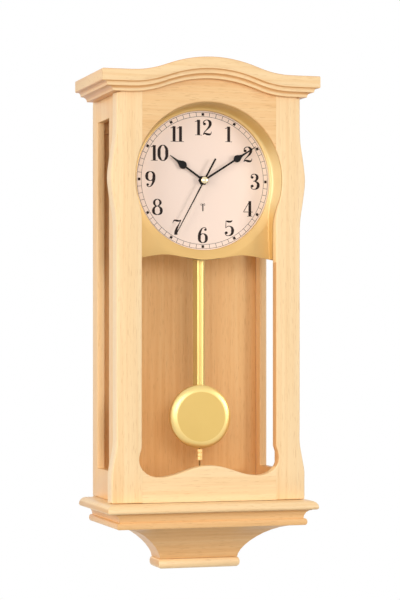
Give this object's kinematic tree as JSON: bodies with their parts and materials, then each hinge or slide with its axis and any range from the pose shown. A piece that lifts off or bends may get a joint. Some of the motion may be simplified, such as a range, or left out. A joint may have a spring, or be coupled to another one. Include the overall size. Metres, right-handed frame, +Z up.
{
  "type": "pendulum wall clock",
  "caption": "Wooden wall clock with an arched crown, a round dial in a gilt plate, open-sided case and swinging brass pendulum, driven by a radio-controlled battery movement.",
  "frame": {"origin": "on the wall side of the hanging rail, on the clock's centre line, just above the keyhole plate: the face that lies against the wall", "axes": "+Z up, +Y into the wall, so the dial faces -Y; +X to the right as seen from the front"},
  "size_m": [0.2746, 0.16, 0.6199],
  "materials": {
    "pale_wood": "satin lacquer",
    "back_veneer": "satin lacquer",
    "satin_gold": "satin",
    "polished_brass": "polished",
    "dial_white": "printed matt",
    "hand_black": "satin",
    "steel": "plain",
    "dark_plastic": "moulded",
    "pale_plastic": "moulded",
    "red_plastic": "moulded",
    "circuit_green": "lacquered",
    "copper_winding": "enamelled wire",
    "ferrite": "sintered",
    "cell_jacket": "satin"
  },
  "bodies": {
    "case": {"side_panel_left": "pale_wood", "side_panel_right": "pale_wood", "top_board": "pale_wood", "hanging_rail": "pale_wood", "frame_stile_left": "pale_wood", "frame_stile_right": "pale_wood", "frame_top_rail": "pale_wood", "frame_bottom_rail": "pale_wood", "crown_front": "pale_wood", "crown_return_left": "pale_wood", "crown_return_right": "pale_wood", "base_board": "pale_wood", "base_moulding_front": "pale_wood", "base_moulding_left": "pale_wood", "base_moulding_right": "pale_wood", "console_front": "pale_wood", "console_left": "pale_wood", "console_right": "pale_wood", "console_foot": "pale_wood", "bezel_batten_left": "pale_wood", "bezel_batten_right": "pale_wood", "back_panel": "back_veneer", "bezel_plate": "satin_gold", "shaft_nut": "polished_brass", "dial_disc": "dial_white", "hanger_plate": "steel", "hanger_screw_left": "steel", "hanger_screw_right": "steel", "battery_contact_left": "steel", "battery_contact_right": "steel", "pivot_pin": "steel", "movement_case": "dark_plastic", "movement_cover": "dark_plastic", "pendulum_bracket": "dark_plastic", "circuit_board": "circuit_green", "motor_coil_left": "copper_winding", "motor_coil_right": "copper_winding", "antenna_coil": "copper_winding", "drive_coil": "copper_winding", "antenna_rod": "ferrite", "battery_cell": "cell_jacket"},
    "hour": {"hour_hand": "hand_black", "hour_wheel": "pale_plastic"},
    "minute": {"minute_hand": "hand_black", "cannon_pinion": "pale_plastic"},
    "motion": {"motion_wheel": "pale_plastic"},
    "second": {"second_hand": "hand_black", "second_wheel": "pale_plastic", "hand_cap": "polished_brass"},
    "pendulum": {"pendulum_arm": "pale_plastic", "arm_magnet": "steel", "pendulum_rod": "polished_brass", "bob_front": "polished_brass", "bob_back": "polished_brass", "rating_stud": "polished_brass"},
    "nut": {"rating_nut": "polished_brass"},
    "button_set": {"set_button": "pale_plastic"},
    "button_reset": {"reset_button": "red_plastic"}
  },
  "joints": [
    {"name": "minute_turn", "type": "hinge", "parent": "case", "child": "minute", "pos_m": [0, -0.1133, -0.1082], "axis": [0, 1, 0], "continuous": true},
    {"name": "hour_turn", "type": "hinge", "parent": "case", "child": "hour", "pos_m": [0, -0.1115, -0.1082], "axis": [0, 1, 0], "continuous": true},
    {"name": "motion_turn", "type": "hinge", "parent": "case", "child": "motion", "pos_m": [0, -0.102, -0.0938], "axis": [0, 1, 0], "continuous": true},
    {"name": "second_turn", "type": "hinge", "parent": "case", "child": "second", "pos_m": [0, -0.1151, -0.1082], "axis": [0, 1, 0], "continuous": true},
    {"name": "pendulum_swing", "type": "hinge", "parent": "case", "child": "pendulum", "pos_m": [0, -0.0911, -0.1455], "axis": [0, 1, 0], "range_deg": [-7, 7]},
    {"name": "rating_nut_turn", "type": "hinge", "parent": "pendulum", "child": "nut", "pos_m": [0, -0.0954, -0.4434], "axis": [0, 0, 1], "continuous": true},
    {"name": "set_press", "type": "slide", "parent": "case", "child": "button_set", "axis": [0, -1, 0], "range_m": [0, 0.0008], "stiffness_N_per_m": 500},
    {"name": "reset_press", "type": "slide", "parent": "case", "child": "button_reset", "axis": [0, -1, 0], "range_m": [0, 0.0008], "stiffness_N_per_m": 500}
  ],
  "couplings": [
    {"joint": "hour_turn", "follows": "minute_turn", "ratio": 0.083333},
    {"joint": "motion_turn", "follows": "minute_turn", "ratio": -0.33333}
  ]
}
